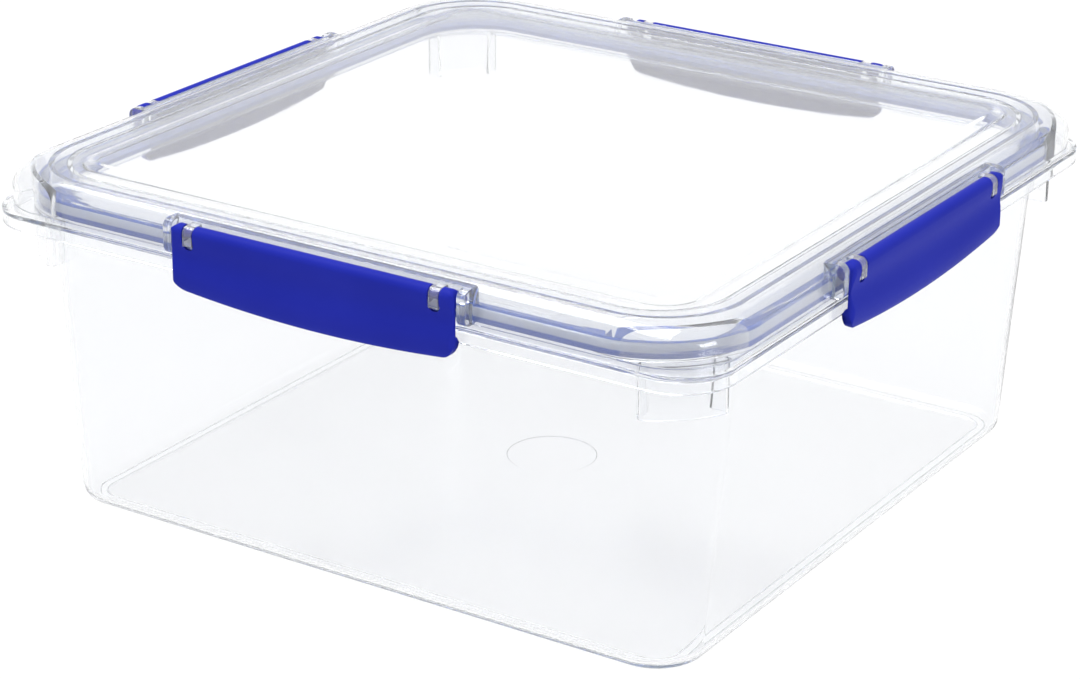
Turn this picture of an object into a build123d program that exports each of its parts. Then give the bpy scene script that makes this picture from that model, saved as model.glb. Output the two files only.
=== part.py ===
from build123d import *
from math import cos, radians, sin
import os

# Square clip-lid food container: a clear tub, a clear lid with its seal, and four hinged clips.
# Millimetres, +Z up. The origin is at the middle of the tub's underside, and the front faces -Y.
# A rounded square is given by its half width, its corner radius and its height.

# Tub
rim_half = 138.5
rim_corner = 31.0
rim_height = 117.4
wall_lean = 8.5
corner_lean = 13.0
tub_wall = 1.9
floor_thickness = 2.0
foot_fillet = 5.0
foot_ring_inset = 6.0
foot_ring_width = 3.0
foot_ring_height = 1.3
gate_radius = 17.0
gate_depth = 0.5

# Flange round the tub, a shelf below the rim with a skirt that hangs from its edge
flange_reach = 9.0
flange_corner = 20.0
flange_drop = 1.6
flange_thickness = 1.9
flange_skirt_depth = 5.9
flange_skirt_wall = 1.8
rim_bead_width = 1.2

# Hollow pads that wrap the tub's corners under the flange
pad_reach = 22.5
pad_stand_off = 3.4
pad_wall = 1.4
pad_depth = 17.3

# Lid: a skirt, a domed shoulder, a shallow border and a raised panel, with a plug that hangs inside
lid_inset = 1.7
lid_gap = 0.9
lid_corner = 24.0
lid_wall = 1.7
skirt_depth = 5.8
shoulder_width = 5.8
shoulder_rise = 7.3
crest_corner = 35.0
dome_steps = 4
crest_land = 1.5
border_width = 18.0
dish_corner = 22.0
dish_depth = 2.0
panel_slope_width = 3.4
panel_corner = 20.0
panel_rise = 0.4
panel_edge_fillet = 0.8
plug_gap = 3.4
plug_corner_step = 3.0
plug_wall = 1.6
plug_depth = 0.8

# Seal, an L in section: a flat ring on the tub's rim and a thin lip up inside the lid
seal_gap = 0.3
seal_rest = 0.05
seal_corner_step = 7.0
seal_thickness = 1.8
seal_lip_wall = 1.1
seal_lip_rise = 0.55
channel_step = 0.2
channel_wall = 1.5
seal_rib_step = 0.1
seal_rib_wall = 1.4

# Clips and their hinges
clip_length = 115.0
pivot_stand_off = 1.3
pivot_drop = 4.0
barrel_radius = 2.9
plate_thickness = 2.0
clip_bow = 3.2
clip_end_fillet = 6.0
clip_top_fillet = 2.0
lip_drop = 3.4
lip_rise = 6.5
lip_tuck = 2.6
lip_edge_rise = 0.9
catch_clearance = 0.25
catch_gap = 1.3
catch_tip = 0.5
catch_depth = 1.25
catch_drop = 1.6
catch_ramp = 4.4
slot_inset = 7.5
slot_width = 4.6
slot_reach = 7.8
slot_corner = 0.8
pin_radius = 1.5
barrel_clearance = 0.3
outline_slack = 0.3

# Hinge bays moulded in the lid, one behind each clip
hook_side_clearance = 0.4
hook_end_clearance = 1.2
hook_wall = 1.0
hook_clearance = 0.25
bay_depth = 4.3
ledge_drop = 0.6
cheek_width = 6.4
cheek_reach = 0.9
cheek_gap = 0.4
cheek_fillet = 2.4

# Places that follow from the sizes above
base_half = rim_half - wall_lean
base_corner = rim_corner - corner_lean
flange_half = rim_half + flange_reach
flange_top = rim_height - flange_drop
flange_bottom = flange_top - flange_skirt_depth
lid_half = flange_half - lid_inset
lid_bottom = flange_top + lid_gap
dome_spring = lid_bottom + skirt_depth
crest_half = lid_half - shoulder_width
crest_height = dome_spring + shoulder_rise
dish_half = crest_half - border_width
dish_height = crest_height - dish_depth
panel_half = dish_half - panel_slope_width
panel_height = crest_height + panel_rise
plug_half = rim_half - tub_wall - plug_gap
plug_corner = rim_corner - plug_corner_step
plug_bottom = rim_height - plug_depth
seal_bottom = rim_height + seal_rest
seal_top = seal_bottom + seal_thickness
seal_corner = rim_corner + seal_corner_step
seal_lip_top = dome_spring + seal_lip_rise
channel_inner = lid_half - lid_wall - channel_step
seal_half = channel_inner - seal_gap
pivot_half = flange_half + pivot_stand_off
pivot_height = crest_height - pivot_drop
plate_outer = pivot_half + barrel_radius
plate_inner = plate_outer - plate_thickness
barrel_top = pivot_height + barrel_radius
half_clip = clip_length / 2
catch_edge = flange_half + catch_clearance
catch_height = flange_bottom - catch_gap
clip_end_height = catch_height - lip_drop
clip_middle_height = clip_end_height - clip_bow
slot_y = half_clip - slot_inset
hook_width = slot_width - 2 * hook_side_clearance
hook_reach = slot_reach - hook_end_clearance
hook_radius = pin_radius + hook_clearance + hook_wall
bay_back = lid_half - bay_depth
bay_face = pivot_half - barrel_radius - barrel_clearance
ledge_top = crest_height - ledge_drop
sides = {"right": 0, "back": 90, "left": 180, "front": 270}


def rounded_square(half, corner, height):
    """A rounded square face at a height."""
    with BuildSketch(Plane.XY.offset(height)) as square:
        RectangleRounded(2 * half, 2 * half, corner)
    return square.sketch


def ring(half, corner, wall, bottom, top):
    """A wall of even thickness that follows a rounded square between two heights."""
    with BuildPart() as wall_ring:
        extrude(rounded_square(half, corner, bottom), amount=top - bottom)
        inner = rounded_square(half - wall, corner - wall, bottom)
        extrude(inner, amount=top - bottom, mode=Mode.SUBTRACT)
    return wall_ring.part


def tub_form(inset, bottom, top, fillet_radius):
    """The tub's tapered body, drawn in by an inset, with its foot edge rounded."""
    slope = (rim_half - base_half) / rim_height
    growth = (rim_corner - base_corner) / rim_height
    low = rounded_square(
        base_half + slope * bottom - inset, base_corner + growth * bottom - inset, bottom
    )
    high = rounded_square(base_half + slope * top - inset, base_corner + growth * top - inset, top)
    with BuildPart() as form:
        loft([low, high])
        fillet(form.faces().sort_by(Axis.Z)[0].edges(), fillet_radius)
    return form.part


def lid_form(inset):
    """The lid's solid form, drawn in and lowered by an inset: skirt, domed shoulder, dish, panel."""
    skirt_bottom = lid_bottom - inset
    dome = []
    for step in range(dome_steps + 1):
        turn = radians(90 * step / dome_steps)
        half = crest_half + (lid_half - inset - crest_half) * cos(turn)
        corner = crest_corner + (lid_corner - inset - crest_corner) * cos(turn)
        height = dome_spring + (crest_height - inset - dome_spring) * sin(turn)
        dome.append(rounded_square(half, corner, height))
    dish = [
        rounded_square(dish_half, dish_corner, dish_height - inset),
        rounded_square(crest_half - crest_land, crest_corner - crest_land, crest_height - inset),
    ]
    panel = [
        rounded_square(dish_half - inset, dish_corner - inset, dish_height - inset),
        rounded_square(panel_half - inset, panel_corner - inset, panel_height - inset),
    ]
    with BuildPart() as form:
        skirt = rounded_square(lid_half - inset, lid_corner - inset, skirt_bottom)
        extrude(skirt, amount=dome_spring - skirt_bottom)
        loft(dome)
        loft(dish, mode=Mode.SUBTRACT)
        loft(panel)
        fillet(form.faces().sort_by(Axis.Z)[-1].edges(), panel_edge_fillet)
    return form.part


def corner_blocks(half, corner, reach, bottom, top):
    """The four corners of a rounded square, each reaching a way along its two sides."""
    with BuildPart() as blocks:
        extrude(rounded_square(half, corner, bottom), amount=top - bottom)
        for length, width in ((2 * half, 2 * (half - reach)), (2 * (half - reach), 2 * half)):
            with BuildSketch(Plane.XY.offset(bottom)):
                Rectangle(length, width)
            extrude(amount=top - bottom, mode=Mode.SUBTRACT)
    return blocks.part


def plate_profile(place, bottom):
    """Section of a clip's plate at a place along it, with its curled lip and its catch."""
    ramp_top = (plate_inner, catch_height + catch_ramp)
    with BuildSketch(Plane.XZ.offset(-place)) as profile:
        with BuildLine():
            face = Line((plate_outer, pivot_height), (plate_outer, bottom + lip_rise))
            curl = TangentArc(face @ 1, (plate_outer - lip_tuck, bottom), tangent=face % 1)
            Polyline(
                curl @ 1,
                (catch_edge, bottom + lip_edge_rise),
                (catch_edge + catch_depth, catch_height - catch_drop),
                (catch_edge, catch_height - catch_tip),
                (catch_edge, catch_height),
            )
            TangentArc(ramp_top, (catch_edge, catch_height), tangent=(0, -1))
            Polyline(ramp_top, (plate_inner, pivot_height), face @ 0)
        make_face()
    return profile.sketch


# Tub: a tapered box on a foot ring, with a flange, a rim and corner pads
flange_underside = flange_top - flange_thickness
pad_bottom = flange_underside - pad_depth
pad_half = rim_half + pad_stand_off
pad_corner = rim_corner + pad_stand_off
tub_outside = tub_form(0, foot_ring_height, rim_height, foot_fillet)
tub_inside = tub_form(
    tub_wall, foot_ring_height + floor_thickness, rim_height + tub_wall, foot_fillet - tub_wall
)
foot_ring = ring(
    base_half - foot_ring_inset, base_corner - foot_ring_inset, foot_ring_width, 0, foot_ring_height
)
flange_skirt = ring(flange_half, flange_corner, flange_skirt_wall, flange_bottom, flange_top)
rim_bead = ring(
    rim_half + rim_bead_width, rim_corner + rim_bead_width, tub_wall + rim_bead_width,
    flange_underside, rim_height,
)
pad_blocks = corner_blocks(pad_half, pad_corner, pad_reach, pad_bottom, flange_underside)
pad_hollows = corner_blocks(
    pad_half - pad_wall, pad_corner - pad_wall, pad_reach - 2 * pad_wall,
    pad_bottom, flange_underside,
)

with BuildPart() as tub:
    add(pad_blocks)
    add(pad_hollows, mode=Mode.SUBTRACT)
    add(tub_outside)
    add(foot_ring)
    add(flange_skirt)
    add(rim_bead)
    shelf = rounded_square(flange_half, flange_corner, flange_underside)
    extrude(shelf, amount=flange_thickness)
    add(tub_inside, mode=Mode.SUBTRACT)
    with BuildSketch(Plane.XY.offset(foot_ring_height)):
        Circle(gate_radius)
    extrude(amount=gate_depth, mode=Mode.SUBTRACT)
tub.part.label = "tub"

# Hinge bay of the lid, facing +X: a ledge behind the clip, a cheek at each end and two hooks
ledge_length = clip_length + 2 * (cheek_gap + cheek_width)
ledge_bottom = pivot_height - barrel_radius
cheek_y = half_clip + cheek_gap + cheek_width / 2
cheek_outer = plate_outer - cheek_reach
hook_top = pivot_height + hook_radius
hook_front = pivot_half + hook_radius

with BuildPart() as bay:
    with BuildSketch(Plane.XY.offset(ledge_bottom)):
        with Locations(((bay_back + bay_face) / 2, 0)):
            Rectangle(bay_face - bay_back, ledge_length)
    extrude(amount=ledge_top - ledge_bottom)
    for end in (-1, 1):
        with BuildSketch(Plane.XZ.offset(-end * cheek_y)):
            with Locations(((bay_back + cheek_outer) / 2, (lid_bottom + ledge_top) / 2)):
                RectangleRounded(cheek_outer - bay_back, ledge_top - lid_bottom, cheek_fillet)
        extrude(amount=cheek_width / 2, both=True)
    for end in (-1, 1):
        with BuildSketch(Plane.XZ.offset(-end * slot_y)):
            with Locations((pivot_half, pivot_height)):
                Circle(hook_radius)
            with Locations(((bay_back + pivot_half) / 2, hook_top - hook_wall / 2)):
                Rectangle(pivot_half - bay_back, hook_wall)
            with Locations((pivot_half, pivot_height)):
                Circle(hook_radius - hook_wall, mode=Mode.SUBTRACT)
            with Locations((pivot_half, pivot_height - hook_radius / 2)):
                Rectangle(2 * hook_radius, hook_radius, mode=Mode.SUBTRACT)
            with Locations((hook_front - hook_wall / 2, pivot_height - hook_reach / 2)):
                Rectangle(hook_wall, hook_reach)
        extrude(amount=hook_width / 2, both=True)

# Rings that hang inside the lid: the channel that holds the seal, the rib over the tub's rim and
# the plug. They end half way through the lid's wall.
channel = ring(
    channel_inner + channel_wall, seal_corner + seal_gap + channel_wall, channel_wall,
    lid_bottom, crest_height,
)
seal_rib = ring(
    rim_half + seal_rib_step, rim_corner, seal_rib_wall, seal_top + seal_gap, crest_height
)
plug = ring(plug_half, plug_corner, plug_wall, plug_bottom, crest_height)

with BuildPart() as lid_rings:
    add(channel)
    add(seal_rib)
    add(plug)
    add(lid_form(lid_wall / 2), mode=Mode.INTERSECT)

# Lid: a domed shell with a recessed border and a raised panel, and the four hinge bays
with BuildPart() as lid:
    add(lid_form(0))
    with PolarLocations(0, len(sides)):
        add(bay.part)
    add(lid_form(lid_wall), mode=Mode.SUBTRACT)
    add(lid_rings.part)
lid.part.label = "lid"

# Seal: a flat ring that lies on the tub's rim, with a lip that stands inside the lid's skirt
seal_inner_half = plug_half + seal_gap
seal_inner_corner = plug_corner + seal_gap
seal_lip = ring(seal_half, seal_corner, seal_lip_wall, seal_bottom, seal_lip_top)

with BuildPart() as seal:
    extrude(rounded_square(seal_half, seal_corner, seal_bottom), amount=seal_thickness)
    seal_hole = rounded_square(seal_inner_half, seal_inner_corner, seal_bottom)
    extrude(seal_hole, amount=seal_thickness, mode=Mode.SUBTRACT)
    add(seal_lip)
seal.part.label = "seal"

# Clip, facing +X: a plate hung from a barrel, slotted at both ends for the lid's hooks, with a
# pin left across each slot, a catch inside and a lower edge that bows down as a finger lip
plate_sections = [
    plate_profile(-half_clip, clip_end_height),
    plate_profile(0, clip_middle_height),
    plate_profile(half_clip, clip_end_height),
]
with BuildPart() as clip_form:
    loft(plate_sections)
    with BuildSketch(Plane.XZ):
        with Locations((pivot_half, pivot_height)):
            Circle(barrel_radius)
    extrude(amount=half_clip, both=True)
    with BuildSketch(Plane.YZ.offset(pivot_half - 2 * barrel_radius)) as outline:
        with BuildLine():
            smile = ThreePointArc(
                (-half_clip, clip_end_height - outline_slack),
                (0, clip_middle_height - outline_slack),
                (half_clip, clip_end_height - outline_slack),
            )
            Polyline(
                smile @ 1,
                (half_clip, barrel_top + outline_slack),
                (-half_clip, barrel_top + outline_slack),
                smile @ 0,
            )
        make_face()
        fillet(outline.vertices().group_by(Axis.Y)[0], clip_end_fillet)
        fillet(outline.vertices().group_by(Axis.Y)[-1], clip_top_fillet)
    extrude(amount=4 * barrel_radius, mode=Mode.INTERSECT)
    with BuildSketch(Plane.YZ.offset(pivot_half - 2 * barrel_radius)) as slots:
        slot_height = slot_reach + 2 * barrel_radius
        with GridLocations(2 * slot_y, 0, 2, 1):
            with Locations((0, pivot_height - slot_reach + slot_height / 2)):
                Rectangle(slot_width, slot_height)
        fillet(slots.vertices().group_by(Axis.Y)[0], slot_corner)
    extrude(amount=4 * barrel_radius, mode=Mode.SUBTRACT)
    for end in (-1, 1):
        with BuildSketch(Plane.XZ.offset(-end * slot_y)):
            with Locations((pivot_half, pivot_height)):
                Circle(pin_radius)
        extrude(amount=slot_width / 2 + slot_corner, both=True)

os.makedirs("parts", exist_ok=True)
export_step(tub.part, "parts/tub.step")
export_step(lid.part, "parts/lid.step")
export_step(seal.part, "parts/seal.step")
for side, angle in sides.items():
    with BuildPart() as clip:
        with Locations(Location((0, 0, 0), (0, 0, angle))):
            add(clip_form.part)
    clip.part.label = f"clip_{side}"
    export_step(clip.part, f"parts/clip_{side}.step")
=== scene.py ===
from math import cos, pi, radians, sin

import bmesh
import bpy
import numpy as np
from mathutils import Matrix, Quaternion, Vector


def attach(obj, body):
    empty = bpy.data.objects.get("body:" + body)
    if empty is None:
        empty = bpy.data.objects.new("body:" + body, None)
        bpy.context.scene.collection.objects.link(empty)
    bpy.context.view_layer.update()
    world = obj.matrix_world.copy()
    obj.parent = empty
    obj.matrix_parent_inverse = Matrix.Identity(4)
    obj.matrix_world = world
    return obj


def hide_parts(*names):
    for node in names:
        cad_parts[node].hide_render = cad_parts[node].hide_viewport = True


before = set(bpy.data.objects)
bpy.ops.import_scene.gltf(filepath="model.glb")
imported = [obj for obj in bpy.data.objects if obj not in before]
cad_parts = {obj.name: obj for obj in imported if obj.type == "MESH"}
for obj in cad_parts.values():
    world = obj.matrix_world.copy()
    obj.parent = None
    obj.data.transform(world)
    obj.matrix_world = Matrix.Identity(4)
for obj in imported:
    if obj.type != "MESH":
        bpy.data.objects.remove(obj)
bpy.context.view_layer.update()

# The tub is one moulding of clear polypropylene. Its walls taper down to a foot ring, and round its
# rim runs a flange with a hanging skirt, which hollow pads carry at the four corners.
foot_half, foot_corner = 0.130, 0.018
rim_half, rim_corner, rim_height = 0.1385, 0.031, 0.1174
tub_wall = 0.0019
ring_height, ring_outer, ring_corner, ring_width = 0.0013, 0.124, 0.012, 0.003
floor_height = 0.0033
gate_radius, gate_depth, gate_round = 0.017, 0.0003, 0.00015
foot_round, inner_foot_round, flange_round = 0.005, 0.0031, 0.0009
root_round, edge_round, soft_round = 0.0004, 0.0005, 0.0006
flange_half, flange_corner = 0.1475, 0.020
flange_top, flange_underside, flange_bottom = 0.1158, 0.1139, 0.1099
skirt_wall, bead_width = 0.0018, 0.0012
pad_half, pad_corner, pad_wall, pad_bottom = 0.1444, 0.0369, 0.0010, 0.0966
pad_start, pad_bend, pad_sink, pad_weld = 0.1194, 0.0025, 0.0035, 0.0004


def rounded(corners):
    """Rounds a section. Its rows are half width, corner radius, height and rounding, and each row
    becomes the parabola that leaves one side and meets the next its rounding away from the row."""
    steps, least_gap = 4, 1e-8
    corners = np.array(corners, float)
    place, rounding = corners[:, :-1], corners[:, -1:]
    sides = [np.roll(place, shift, 0) - place for shift in (1, -1)]
    sides = [side / np.linalg.norm(side[:, ::2], axis=1, keepdims=True) for side in sides]
    start, end = (place + rounding * side for side in sides)
    t = np.linspace(0, 1, steps + 1)[:, None, None]
    curve = (1 - t) ** 2 * start + 2 * t * (1 - t) * place + t**2 * end
    curve = curve.transpose(1, 0, 2).reshape(-1, place.shape[1])
    fresh = np.abs(curve - np.roll(curve, 1, 0)).max(1) > least_gap
    return curve[fresh]


def carried_round(section, straight=8, turn=20):
    """Carries a section round a square with rounded corners, in steps along each straight and each
    turn. A place is the corner's centre, or between two of them, plus the corner radius times the
    outward direction."""
    half, corner, height = section.T[:, :, None]
    share = np.concatenate([np.linspace(0, 1, straight + 1), np.ones(turn - 1)])
    angle = np.concatenate([np.zeros(straight + 1), np.linspace(0, pi / 2, turn + 1)[1:-1]])
    centres = [(half - corner) * (1 - 1j) * 1j**k for k in range(4)]
    plan = [
        (1 - share) * centres[k] + share * centres[(k + 1) % 4] + corner * np.exp(1j * angle) * 1j**k
        for k in range(4)
    ]
    plan = np.concatenate(plan, axis=1)
    return np.stack([plan.real, plan.imag, height + 0 * plan.real], axis=-1)


def moulding(name, points, section_closed=True, caps=False):
    """A piece whose skin is a grid of points, rows by places, that closes on itself along the places
    and, if the section is closed, along the rows. Without caps, open ends meet in a pole."""
    rows, places = points.shape[:2]
    index = np.arange(rows * places).reshape(rows, places)
    right = np.roll(index, -1, axis=1)
    quads = np.stack([index, right, np.roll(right, -1, 0), np.roll(index, -1, 0)], axis=-1)
    quads = quads if section_closed else quads[:-1]
    faces = quads.reshape(-1, 4).tolist()
    if caps:
        faces += [index[0].tolist(), index[-1].tolist()]
    mesh = bpy.data.meshes.new(name)
    mesh.from_pydata(points.reshape(-1, 3).tolist(), [], faces)
    skin = bmesh.new()
    skin.from_mesh(mesh)
    bmesh.ops.remove_doubles(skin, verts=skin.verts, dist=1e-7)
    bmesh.ops.recalc_face_normals(skin, faces=skin.faces)
    skin.to_mesh(mesh)
    skin.free()
    piece = bpy.data.objects.new(name, mesh)
    bpy.context.scene.collection.objects.link(piece)
    return piece


def moulded_together(piece, others, operation="UNION"):
    """Adds other closed shapes to a piece, or cuts them from it, so that it stays one skin."""
    for other in others:
        step = piece.modifiers.new(other.name, "BOOLEAN")
        step.operation = operation
        step.solver = "MANIFOLD"
        step.object = other
    depsgraph = bpy.context.evaluated_depsgraph_get()
    mesh = bpy.data.meshes.new_from_object(piece.evaluated_get(depsgraph))
    piece.modifiers.clear()
    piece.data = mesh
    for other in others:
        bpy.data.objects.remove(other)
    return piece


def finished(piece, body, nodes, material):
    """Gives a piece its shading and material, and its place in the frame."""
    crease = radians(35)
    piece.data.shade_smooth()
    piece.data.set_sharp_from_angle(angle=crease)
    weighted = piece.modifiers.new("even_normals", "WEIGHTED_NORMAL")
    weighted.keep_sharp = True
    piece.data.materials.clear()
    piece.data.materials.append(material)
    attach(piece, body)
    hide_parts(*nodes)
    return piece


def wall_half(height):
    """The tub's outer half width at a height: its walls lean out evenly from the foot to the rim."""
    return foot_half + (rim_half - foot_half) * height / rim_height


def wall_corner(height):
    """The tub's corner radius at a height, which grows in the same way."""
    return foot_corner + (rim_corner - foot_corner) * height / rim_height


def new_material(name):
    """A node material, with its tree and its main shader."""
    material = bpy.data.materials.new(name)
    material.use_nodes = True
    tree = material.node_tree
    return material, tree, tree.nodes["Principled BSDF"]


def noise(tree, scale, detail=2):
    """A socket with a cloudy pattern that stays with the object."""
    place = tree.nodes.new("ShaderNodeTexCoord")
    clouds = tree.nodes.new("ShaderNodeTexNoise")
    clouds.inputs["Scale"].default_value = scale
    clouds.inputs["Detail"].default_value = detail
    tree.links.new(place.outputs["Object"], clouds.inputs["Vector"])
    return clouds.outputs["Fac"]


def height_of(tree):
    """A socket with the height of a point in the object."""
    place = tree.nodes.new("ShaderNodeTexCoord")
    split = tree.nodes.new("ShaderNodeSeparateXYZ")
    tree.links.new(place.outputs["Object"], split.inputs["Vector"])
    return split.outputs["Z"]


def mapped(tree, value, low, high, start=0, end=1):
    """A socket that goes evenly from low to high as a value goes from start to end."""
    spread = tree.nodes.new("ShaderNodeMapRange")
    for socket, number in (("From Min", start), ("From Max", end), ("To Min", low), ("To Max", high)):
        spread.inputs[socket].default_value = number
    tree.links.new(value, spread.inputs["Value"])
    return spread.outputs["Result"]


def grained(tree, shader, grain, strength, depth):
    """Gives a surface a faint relief that follows a grain."""
    bump = tree.nodes.new("ShaderNodeBump")
    bump.inputs["Strength"].default_value = strength
    bump.inputs["Distance"].default_value = depth
    tree.links.new(grain, bump.inputs["Height"])
    tree.links.new(bump.outputs["Normal"], shader.inputs["Normal"])


def tinted_depth(tree, colour, density):
    """Tints light by the length of its way through a piece, so that thick places are deeper."""
    depth = tree.nodes.new("ShaderNodeVolumeAbsorption")
    depth.inputs["Color"].default_value = (*colour, 1)
    depth.inputs["Density"].default_value = density
    tree.links.new(depth.outputs["Volume"], tree.nodes["Material Output"].inputs["Volume"])


def clear_plastic(name, clearness, frosted_below=None):
    """Clear moulded plastic: bends light, has faint flow marks in its gloss and its surface, and is
    frosted by its mould below a height."""
    material, tree, shader = new_material(name)
    shader.inputs["Base Color"].default_value = (0.988, 0.992, 1.0, 1)
    shader.inputs["Transmission Weight"].default_value = clearness
    shader.inputs["IOR"].default_value = 1.49
    flow = noise(tree, scale=22, detail=3)
    roughness = mapped(tree, flow, low=0.012, high=0.04)
    if frosted_below is not None:
        frost_fade = 0.002
        frost_end = frosted_below + frost_fade
        frost = mapped(tree, height_of(tree), low=0.12, high=0, start=frosted_below, end=frost_end)
        total = tree.nodes.new("ShaderNodeMath")
        tree.links.new(roughness, total.inputs[0])
        tree.links.new(frost, total.inputs[1])
        roughness = total.outputs["Value"]
    tree.links.new(roughness, shader.inputs["Roughness"])
    grained(tree, shader, flow, strength=0.05, depth=0.0006)
    tinted_depth(tree, colour=(0.15, 0.45, 0.85), density=3)
    return material


tub_section = rounded([
    (0, 0, ring_height + gate_depth, 0),
    (gate_radius, gate_radius, ring_height + gate_depth, gate_round),
    (gate_radius, gate_radius, ring_height, gate_round),
    (ring_outer - ring_width, ring_corner - ring_width, ring_height, root_round),
    (ring_outer - ring_width, ring_corner - ring_width, 0, edge_round),
    (ring_outer, ring_corner, 0, edge_round),
    (ring_outer, ring_corner, ring_height, root_round),
    (wall_half(ring_height), wall_corner(ring_height), ring_height, foot_round),
    (wall_half(flange_underside), wall_corner(flange_underside), flange_underside, soft_round),
    (flange_half - skirt_wall, flange_corner - skirt_wall, flange_underside, soft_round),
    (flange_half - skirt_wall, flange_corner - skirt_wall, flange_bottom, edge_round),
    (flange_half, flange_corner, flange_bottom, edge_round),
    (flange_half, flange_corner, flange_top, flange_round),
    (rim_half + bead_width, rim_corner + bead_width, flange_top, root_round),
    (rim_half + bead_width, rim_corner + bead_width, rim_height, soft_round),
    (rim_half - tub_wall, rim_corner - tub_wall, rim_height, soft_round),
    (wall_half(floor_height) - tub_wall, wall_corner(floor_height) - tub_wall, floor_height,
     inner_foot_round),
    (0, 0, floor_height, 0),
])
tub = moulding("tub_moulding", carried_round(tub_section), section_closed=False)


def corner_pad(name):
    """A hollow pad round the corner at +X +Y: a thin wall that follows the corner's arc and turns in
    to the tub at both ends, closed at its top by the flange."""
    middle, radius = pad_half - pad_wall / 2, pad_corner - pad_wall / 2
    centre = middle - radius
    edge = pad_start + pad_wall / 2
    sweep = np.arccos((edge - centre) / radius)
    ease = pad_bend / radius
    turns = np.linspace(sweep - ease, pi / 2 - sweep + ease, 25)
    arc = centre * (1 + 1j) + radius * np.exp(1j * turns)
    end = centre * (1 + 1j) + radius * np.exp(1j * sweep)
    leg = edge + 1j * (wall_half(pad_bottom) - pad_sink)
    t = np.linspace(0, 1, 7)[:-1]
    bend = (1 - t) ** 2 * (end - 1j * pad_bend) + 2 * t * (1 - t) * end + t**2 * arc[0]
    start = np.concatenate([[leg], bend])
    line = np.concatenate([start, arc, 1j * np.conj(start)[::-1]])
    tangent = np.gradient(line)
    across = 1j * tangent / np.abs(tangent)
    half, top, lip_share = pad_wall / 2, flange_underside + pad_weld, 0.7
    loop = np.array([
        (-half, top),
        (-half, pad_bottom + half),
        (-half * lip_share, pad_bottom + half * (1 - lip_share)),
        (0, pad_bottom),
        (half * lip_share, pad_bottom + half * (1 - lip_share)),
        (half, pad_bottom + half),
        (half, top),
    ])
    plan = line[:, None] + across[:, None] * loop[None, :, 0]
    points = np.stack([plan.real, plan.imag, loop[:, 1] + 0 * plan.real], axis=-1)
    return moulding(name, points, section_closed=False, caps=True)


def turned(piece, quarter):
    """Turns a piece about Z by quarters, in its mesh."""
    points = np.zeros(len(piece.data.vertices) * 3)
    piece.data.vertices.foreach_get("co", points)
    points = points.reshape(-1, 3)
    plan = (points[:, 0] + 1j * points[:, 1]) * 1j**quarter
    points[:, 0], points[:, 1] = plan.real, plan.imag
    piece.data.vertices.foreach_set("co", points.ravel())
    return piece


pads = [turned(corner_pad(f"pad_{k}"), k) for k in range(4)]
moulded_together(tub, pads)
tub_plastic = clear_plastic("clear_tub_plastic", clearness=0.97, frosted_below=0.0035)
finished(tub, "tub", ["tub"], tub_plastic)

# The seal is a soft blue ring, L-shaped in section: its flat lies on the tub's rim and its thin lip
# stands up inside the lid's skirt. It is pressed into the lid's channel and comes off for washing.
seal_bottom, seal_thickness, lip_height, lip_wall = 0.11745, 0.0018, 0.0056, 0.0011
seal_half, seal_corner, seal_inner, seal_inner_corner = 0.1436, 0.038, 0.1335, 0.0283
seal_base_round = 0.0003
seal_section = rounded([
    (seal_half, seal_corner, seal_bottom, seal_base_round),
    (seal_half, seal_corner, seal_bottom + lip_height, edge_round),
    (seal_half - lip_wall, seal_corner - lip_wall, seal_bottom + lip_height, edge_round),
    (seal_half - lip_wall, seal_corner - lip_wall, seal_bottom + seal_thickness, edge_round),
    (seal_inner, seal_inner_corner, seal_bottom + seal_thickness, root_round),
    (seal_inner, seal_inner_corner, seal_bottom, root_round),
])


def seal_rubber(name):
    """Soft cloudy blue rubber, pale in its thin lip. The dark blue over its thick flat and along the lip's
    top edge is painted shade, standing for light that goes a long way through the rubber."""
    material, tree, shader = new_material(name)
    shader.inputs["Transmission Weight"].default_value = 0.5
    shader.inputs["IOR"].default_value = 1.42
    gloss = mapped(tree, noise(tree, scale=160), low=0.1, high=0.22)
    tree.links.new(gloss, shader.inputs["Roughness"])
    lip_top = seal_bottom + lip_height
    share = mapped(tree, height_of(tree), low=0, high=1, start=seal_bottom, end=lip_top)
    tint_and_painted_shade = tree.nodes.new("ShaderNodeValToRGB")
    # Painted shade: the dark stops of the ramp colour the flat and the lip's top edge, while the rubber's
    # own tint is the pale one.
    painted_shade_blue, pale = (0.10, 0.20, 0.70, 1), (0.90, 0.94, 1.0, 1)
    stops = tint_and_painted_shade.color_ramp.elements
    stops[0].position, stops[0].color = 0.30, painted_shade_blue
    stops[1].position, stops[1].color = 0.40, pale
    stops.new(0.88).color = pale
    stops.new(0.93).color = painted_shade_blue
    tree.links.new(share, tint_and_painted_shade.inputs["Fac"])
    tree.links.new(tint_and_painted_shade.outputs["Color"], shader.inputs["Base Color"])
    tinted_depth(tree, colour=(0.083, 0.273, 0.65), density=8)
    return material


seal = moulding("seal_ring", carried_round(seal_section))
finished(seal, "lid", ["seal"], seal_rubber("blue_seal_rubber"))

# The lid is one clear moulding: a skirt, a domed shoulder, a shallow border and a raised panel. Below
# it hang a plug, a rib that presses the seal and a channel that holds it, and at the middle of each
# side stands a bay with two cheeks and two hooks for a clip.
lid_half, lid_corner, lid_bottom, lid_wall = 0.1458, 0.024, 0.1167, 0.0017
spring_height, crest_half, crest_corner, crest_height = 0.1225, 0.140, 0.035, 0.1298
crest_land, crest_round = 0.0015, 0.0012
dish_half, dish_corner, dish_height, dish_under_round = 0.1255, 0.0135, 0.1290, 0.001
panel_half, panel_corner, panel_height, panel_round = 0.1209, 0.009, 0.1302, 0.0009
plug_half, plug_corner, plug_wall, plug_bottom = 0.1332, 0.028, 0.0016, 0.1166
rib_half, rib_wall, rib_bottom = 0.1386, 0.0014, 0.11955
lid_turn = 28


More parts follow.
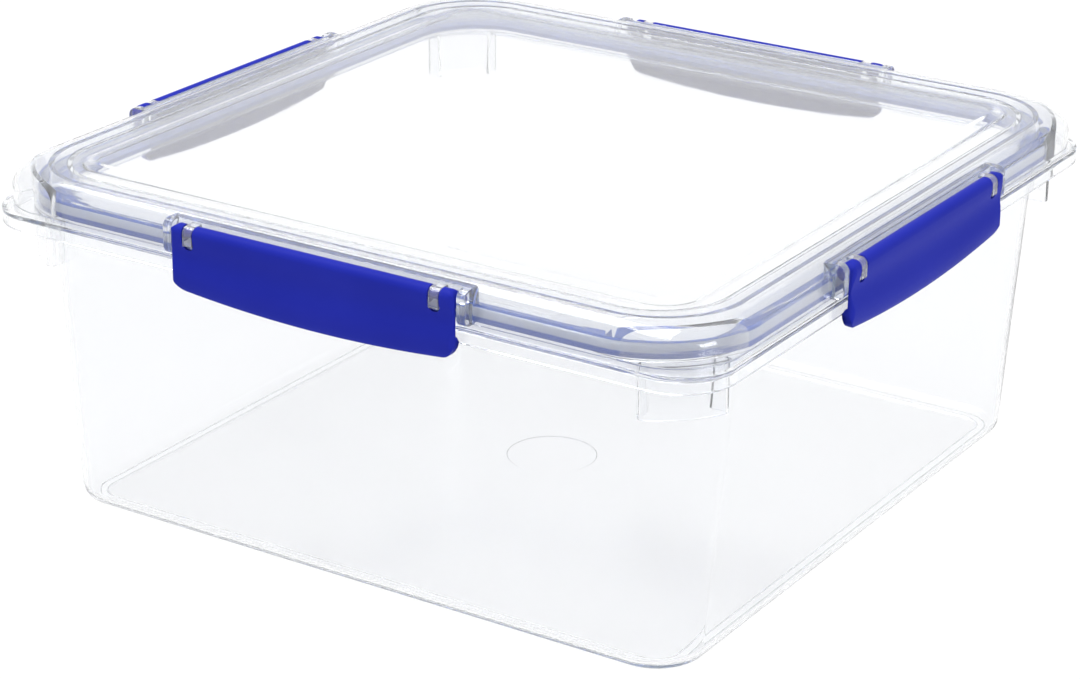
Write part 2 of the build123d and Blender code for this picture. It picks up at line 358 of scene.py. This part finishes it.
def dome(inset):
    """The lid's shoulder from its spring to its crest: a quarter ellipse, drawn in by an inset."""
    turn = np.linspace(0, pi / 2, 14)
    half = crest_half + (lid_half - inset - crest_half) * np.cos(turn)
    corner = crest_corner + (lid_corner - inset - crest_corner) * np.cos(turn)
    height = spring_height + (crest_height - inset - spring_height) * np.sin(turn)
    return np.stack([half, corner, height, 0 * turn], axis=1)


def under(half):
    """Height of the border's underside at a half width: it falls evenly from the crest to the dish."""
    share = (half - dish_half) / (crest_half - crest_land - dish_half)
    return dish_height - lid_wall + share * (crest_height - dish_height)


lid_section = rounded(np.concatenate([
    [
        (0, 0, panel_height - lid_wall, 0),
        (panel_half - lid_wall, panel_corner - lid_wall, panel_height - lid_wall, soft_round),
        (dish_half - lid_wall, dish_corner - lid_wall, dish_height - lid_wall, dish_under_round),
        (plug_half - plug_wall, plug_corner - plug_wall, under(plug_half - plug_wall), root_round),
        (plug_half - plug_wall, plug_corner - plug_wall, plug_bottom, edge_round),
        (plug_half, plug_corner, plug_bottom, edge_round),
        (plug_half, plug_corner, under(plug_half), root_round),
        (rib_half - rib_wall, rim_corner - rib_wall, under(rib_half - rib_wall), root_round),
        (rib_half - rib_wall, rim_corner - rib_wall, rib_bottom, edge_round),
        (rib_half, rim_corner, rib_bottom, edge_round),
        (rib_half, rim_corner, crest_height - lid_wall, root_round),
    ],
    dome(lid_wall)[::-1],
    [
        (lid_half - lid_wall, lid_corner - lid_wall, lid_bottom, soft_round),
        (lid_half, lid_corner, lid_bottom, soft_round),
    ],
    dome(0),
    [
        (crest_half - crest_land, crest_corner - crest_land, crest_height, crest_round),
        (dish_half, dish_corner, dish_height, crest_round),
        (panel_half, panel_corner, panel_height, panel_round),
        (0, 0, panel_height, 0),
    ],
]))
lid = moulding("lid_moulding", carried_round(lid_section, turn=lid_turn), section_closed=False)

channel_inner, channel_corner, channel_wall = 0.1439, 0.0383, 0.0015
channel_section = rounded([
    (channel_inner, channel_corner, lid_bottom, root_round),
    (channel_inner + channel_wall, channel_corner + channel_wall, lid_bottom, root_round),
    (channel_inner + channel_wall, channel_corner + channel_wall, crest_height, 0),
    (channel_inner, channel_corner, crest_height, 0),
])
core_inset = lid_wall / 2
core_section = np.concatenate([
    [
        (0, 0, lid_bottom - core_inset, 0),
        (lid_half - core_inset, lid_corner - core_inset, lid_bottom - core_inset, 0),
    ],
    dome(core_inset),
    [(0, 0, crest_height - core_inset, 0)],
])[:, :3]

pivot_half, pivot_height, barrel_radius = 0.1488, 0.1258, 0.0029
half_clip = 0.0575
bay_back, bay_face, ledge_top, ledge_bottom, ledge_corner = 0.1415, 0.1456, 0.1292, 0.1229, 0.0004
cheek_width, cheek_gap, cheek_outer, cheek_round = 0.0036, 0.0004, 0.1502, 0.0030
hook_width, hook_wall, hook_radius, hook_reach, slot_place = 0.0038, 0.001, 0.00275, 0.0040, 0.050


def block(name, low, high, corner, axis=2):
    """A block between two corners with softened edges. Its outline is rounded across an axis."""
    low, high = np.array(low, float), np.array(high, float)
    order = {2: [0, 1, 2], 1: [0, 2, 1], 0: [1, 2, 0]}[axis]
    size, middle = (high - low)[order] / 2, (low + high)[order] / 2
    section = rounded([
        (0, 0, -size[2], 0),
        (size[0], corner, -size[2], edge_round),
        (size[0], corner, size[2], edge_round),
        (0, 0, size[2], 0),
    ])
    # The softened edges draw in, and there the corner can't be wider than the outline.
    section[1:-1, 1] = np.minimum(section[1:-1, 1], section[1:-1, 0])
    points = carried_round(section, straight=1, turn=8)
    # The outline is a square so far. Its halves move apart to give the block its length, and what
    # lies in the middle, but for rounding in the last digits, stays there.
    lengthening, digits = size[1] - size[0], 9
    points[..., 1] += np.sign(np.round(points[..., 1], digits)) * lengthening
    points += middle
    return moulding(name, points[..., np.argsort(order)], section_closed=False)


def bar(name, outline, place, width):
    """A bar along Y, centred on a place. Its outline is given as x + 1j * z."""
    levels = place + np.array([-width, width])[:, None] / 2
    points = np.stack(np.broadcast_arrays(outline.real, levels, outline.imag), axis=-1)
    return moulding(name, points, section_closed=False, caps=True)


def hook(name, place):
    """A hook of the bay: a thin band that leaves the lid, bends over the clip's pin and hangs in the
    clip's slot."""
    radius = hook_radius - hook_wall / 2
    arm = np.linspace(bay_back - pivot_half, 0, 3)[:-1] + 1j * radius
    bend = radius * np.exp(1j * np.linspace(pi / 2, 0, 10))
    hang = radius - 1j * np.linspace(0, hook_reach, 4)[1:]
    line = pivot_half + 1j * pivot_height + np.concatenate([arm, bend, hang])
    tangent = np.gradient(line)
    across = 1j * tangent / np.abs(tangent) * hook_wall / 2
    outline = np.concatenate([line + across, (line - across)[::-1]])
    return bar(name, outline, place, hook_width)


def hinge_bay(quarter):
    """The parts of one bay, facing +X and then turned to its side."""
    reach = half_clip + cheek_gap
    low = (bay_back, -reach - cheek_width, ledge_bottom)
    high = (bay_face, reach + cheek_width, ledge_top)
    ledge = block(f"ledge_{quarter}", low, high, ledge_corner)
    cheeks = []
    for end in (-1, 1):
        middle = end * (reach + cheek_width / 2)
        low = (bay_back, middle - cheek_width / 2, lid_bottom)
        high = (cheek_outer, middle + cheek_width / 2, ledge_top)
        cheeks.append(block(f"cheek_{quarter}_{end}", low, high, cheek_round, axis=1))
    hooks = [hook(f"hook_{quarter}_{end}", end * slot_place) for end in (-1, 1)]
    return [turned(part, quarter) for part in (ledge, *cheeks, *hooks)]


channel = moulding("channel", carried_round(channel_section, turn=lid_turn))
core = moulding("lid_core", carried_round(core_section, turn=lid_turn), section_closed=False)
moulded_together(channel, [core], "INTERSECT")
bays = [part for quarter in range(4) for part in hinge_bay(quarter)]
moulded_together(lid, [channel, *bays])
lid_plastic = clear_plastic("clear_lid_plastic", clearness=0.96)
finished(lid, "lid", ["lid"], lid_plastic)

# The four clips are deep blue mouldings of a tougher grade. Each hangs from a barrel along its top,
# has a slot near each end with a pin across it, and curls in along its bowed lower edge.
plate_outer, plate_wall, plate_hollow = pivot_half + barrel_radius, 0.002, 0.0011
clip_end, clip_middle = 0.1052, 0.1020
curl_rise, curl_tuck, curl_edge, curl_edge_rise, tip_share = 0.0065, 0.0026, 0.0013, 0.0009, 0.35
catch_x, catch_height, catch_ramp = 0.14775, 0.1086, 0.0044
catch_toe_x, catch_toe, catch_edge = 0.1490, 0.0016, 0.0005
end_round, corner_round, top_round = 0.002, 0.006, 0.0034
slot_width, slot_corner, slot_reach, slot_clear = 0.0046, 0.002, 0.0054, 0.006
pin_radius, pin_root = 0.0015, 0.0008


def clip(name):
    """A clip facing +X. Its section is a plate that hangs from a barrel, and it is carried along Y
    while its lower edge bows down: each part of the section says how much of the bow it follows.
    What lies outside the rounded outline is drawn back on to it."""
    ends = np.sin(np.linspace(0, pi / 2, 12)) * corner_round
    inner = np.linspace(0, half_clip - corner_round, 22)
    station = np.concatenate([inner, half_clip - corner_round + ends[1:]])
    station = np.concatenate([-station[:0:-1], station])
    bottom = clip_middle + (clip_end - clip_middle) * (station / half_clip) ** 2

    def fall(radius):
        """How far an edge draws back at each station: radius - sqrt(radius^2 - way past its start^2)."""
        past = np.clip(np.abs(station) - (half_clip - radius), 0, radius)
        return radius - np.sqrt(radius**2 - past**2)

    turn = np.linspace(2 * pi - np.arccos(1 - plate_wall / barrel_radius), 0, 40)
    barrel = (pivot_half + barrel_radius * np.cos(turn), pivot_height + barrel_radius * np.sin(turn), 0)
    share = np.linspace(0, 1, 16)[1:-1]
    face_x = plate_outer - plate_hollow * np.sin(pi * share) ** 2
    face = (face_x, (1 - share) * pivot_height + share * curl_rise, share)
    turn = np.linspace(0, pi / 2, 14)
    curl = (plate_outer - curl_tuck * (1 - np.cos(turn)), curl_rise * (1 - np.sin(turn)), 1)
    tip_x = plate_outer - curl_tuck - curl_edge * np.array([0.5, 1])
    tip = (tip_x, curl_edge_rise * np.array([tip_share, 1]), 1)
    catch = ([catch_toe_x, catch_x, catch_x], catch_height - np.array([catch_toe, catch_edge, 0]), 0)
    turn = np.linspace(0, pi / 2, 12)[1:]
    ramp_x = catch_x + (plate_outer - plate_wall - catch_x) * (1 - np.cos(turn))
    ramp = (ramp_x, catch_height + catch_ramp * np.sin(turn), 0)

    section = [np.stack(np.broadcast_arrays(*part)) for part in (barrel, face, curl, tip, catch, ramp)]
    x, z, follows = np.concatenate(section, axis=1)
    low, high = bottom + fall(corner_round), pivot_height + barrel_radius - fall(top_round)
    x = np.minimum(x, (plate_outer - fall(end_round))[:, None])
    z = np.clip(z + follows * bottom[:, None], low[:, None], high[:, None])
    points = np.stack([x, station[:, None] + 0 * x, z], axis=-1)
    return moulding(name, points, section_closed=False, caps=True)


def slot_cut(name, place):
    """The open slot at one end of a clip, from above its barrel down to its floor."""
    low = (pivot_half - slot_clear, place - slot_width / 2, pivot_height - slot_reach)
    high = (pivot_half + slot_clear, place + slot_width / 2, pivot_height + slot_clear)
    return block(name, low, high, slot_corner, axis=0)


def pin(name, place):
    """The pin across a slot, which the lid's hook holds."""
    turn = np.linspace(0, 2 * pi, 33)[:-1]
    outline = pivot_half + 1j * pivot_height + pin_radius * np.exp(1j * turn)
    return bar(name, outline, place, slot_width + 2 * pin_root)


def clip_blue(name):
    """Opaque blue plastic with a satin, faintly grained surface."""
    material, tree, shader = new_material(name)
    colour = tree.nodes.new("ShaderNodeMix")
    colour.data_type = "RGBA"
    colour.inputs["A"].default_value = (0.011, 0.017, 0.25, 1)
    colour.inputs["B"].default_value = (0.015, 0.022, 0.30, 1)
    tree.links.new(noise(tree, scale=35), colour.inputs["Factor"])
    tree.links.new(colour.outputs["Result"], shader.inputs["Base Color"])
    shader.inputs["Specular IOR Level"].default_value = 0.02
    grain = noise(tree, scale=900)
    tree.links.new(mapped(tree, grain, low=0.3, high=0.42), shader.inputs["Roughness"])
    grained(tree, shader, grain, strength=0.1, depth=0.0001)
    return material


blue = clip_blue("blue_clip_plastic")
for quarter, side in enumerate(("right", "back", "left", "front")):
    moulded = clip(f"{side}_clip_moulding")
    moulded_together(moulded, [slot_cut(f"slot_{end}", end * slot_place) for end in (-1, 1)], "DIFFERENCE")
    moulded_together(moulded, [pin(f"pin_{end}", end * slot_place) for end in (-1, 1)])
    turned(moulded, quarter)
    finished(moulded, f"clip_{side}", [f"clip_{side}"], blue)

# The studio is a white floor that keeps the object's shadow, an even white surround and soft lamps.
# Floor and surround look the same white in the picture, whatever light they throw on the object.
floor_reach = 6.0
lamp_target = Vector((0, 0, 0.06))
floor_mesh = bpy.data.meshes.new("studio_floor")
floor_mesh.from_pydata(
    [(x * floor_reach, y * floor_reach, 0) for x, y in ((-1, -1), (1, -1), (1, 1), (-1, 1))],
    [], [(0, 1, 2, 3)],
)
floor = bpy.data.objects.new("studio_floor", floor_mesh)
bpy.context.scene.collection.objects.link(floor)


def level_for_view(tree, bounced, seen):
    """A socket that is one value for light bounced from matt surfaces and another for what is seen
    directly, in a reflection or through clear plastic."""
    rays = tree.nodes.new("ShaderNodeLightPath")
    looking = rays.outputs["Is Camera Ray"]
    for kind in ("Is Glossy Ray", "Is Transmission Ray"):
        either = tree.nodes.new("ShaderNodeMath")
        either.operation = "MAXIMUM"
        tree.links.new(looking, either.inputs[0])
        tree.links.new(rays.outputs[kind], either.inputs[1])
        looking = either.outputs["Value"]
    return mapped(tree, looking, low=bounced, high=seen)


paper, paper_tree, paper_shader = new_material("white_paper")
paper_colour = level_for_view(paper_tree, bounced=0.85, seen=0.04)
paper_glow = level_for_view(paper_tree, bounced=0, seen=0.99)
paper_tree.links.new(paper_colour, paper_shader.inputs["Base Color"])
paper_tree.links.new(paper_glow, paper_shader.inputs["Emission Strength"])
paper_shader.inputs["Emission Color"].default_value = (1, 1, 1, 1)
paper_shader.inputs["Roughness"].default_value = 1
paper_shader.inputs["Specular IOR Level"].default_value = 0
floor_mesh.materials.append(paper)

world = bpy.data.worlds.new("white_surround")
world.use_nodes = True
bpy.context.scene.world = world
surround = world.node_tree.nodes["Background"]
surround.inputs["Color"].default_value = (1, 1, 1, 1)
surround_level = level_for_view(world.node_tree, bounced=0.7, seen=1)
world.node_tree.links.new(surround_level, surround.inputs["Strength"])


def soft_lamp(name, place, width, watts):
    """A square soft lamp at a place, facing the object."""
    data = bpy.data.lights.new(name, "AREA")
    data.shape = "SQUARE"
    data.size = width
    data.energy = watts
    lamp = bpy.data.objects.new(name, data)
    lamp.location = place
    lamp.rotation_euler = (lamp_target - Vector(place)).to_track_quat("-Z", "Y").to_euler()
    bpy.context.scene.collection.objects.link(lamp)


soft_lamp("overhead_lamp", place=(-0.5, -0.2, 1.7), width=1.4, watts=40)
soft_lamp("side_lamp", place=(1.8, -0.3, 0.8), width=0.8, watts=14)

# The camera stands where the photograph was taken from: in front of the object, to its right and
# above it, with a long lens.
azimuth, elevation, roll = radians(32.64), radians(21.98), radians(0.56)
distance = 1.157
look_at = Vector((-0.0075, 0.0017, 0.0469))
sensor_width, picture_width, focal_pixels = 36, 1080, 3080
back = Vector((sin(azimuth) * cos(elevation), -cos(azimuth) * cos(elevation), sin(elevation)))
camera_data = bpy.data.cameras.new("camera")
camera_data.sensor_width = sensor_width
camera_data.lens = sensor_width * focal_pixels / picture_width
camera = bpy.data.objects.new("camera", camera_data)
bpy.context.scene.collection.objects.link(camera)
camera.location = look_at + back * distance
camera.rotation_mode = "QUATERNION"
facing = (-back).to_track_quat("-Z", "Y")
camera.rotation_quaternion = facing @ Quaternion((0, 0, 1), roll)
bpy.context.scene.camera = camera

# Clear plastic leads light a long way between its faces, so a path may bounce many times before it
# is given up. With fewer bounces the edges turn black.
long_path = 96
scene = bpy.context.scene
scene.view_settings.view_transform = "Standard"
scene.cycles.max_bounces = long_path
scene.cycles.transmission_bounces = long_path
scene.cycles.glossy_bounces = long_path
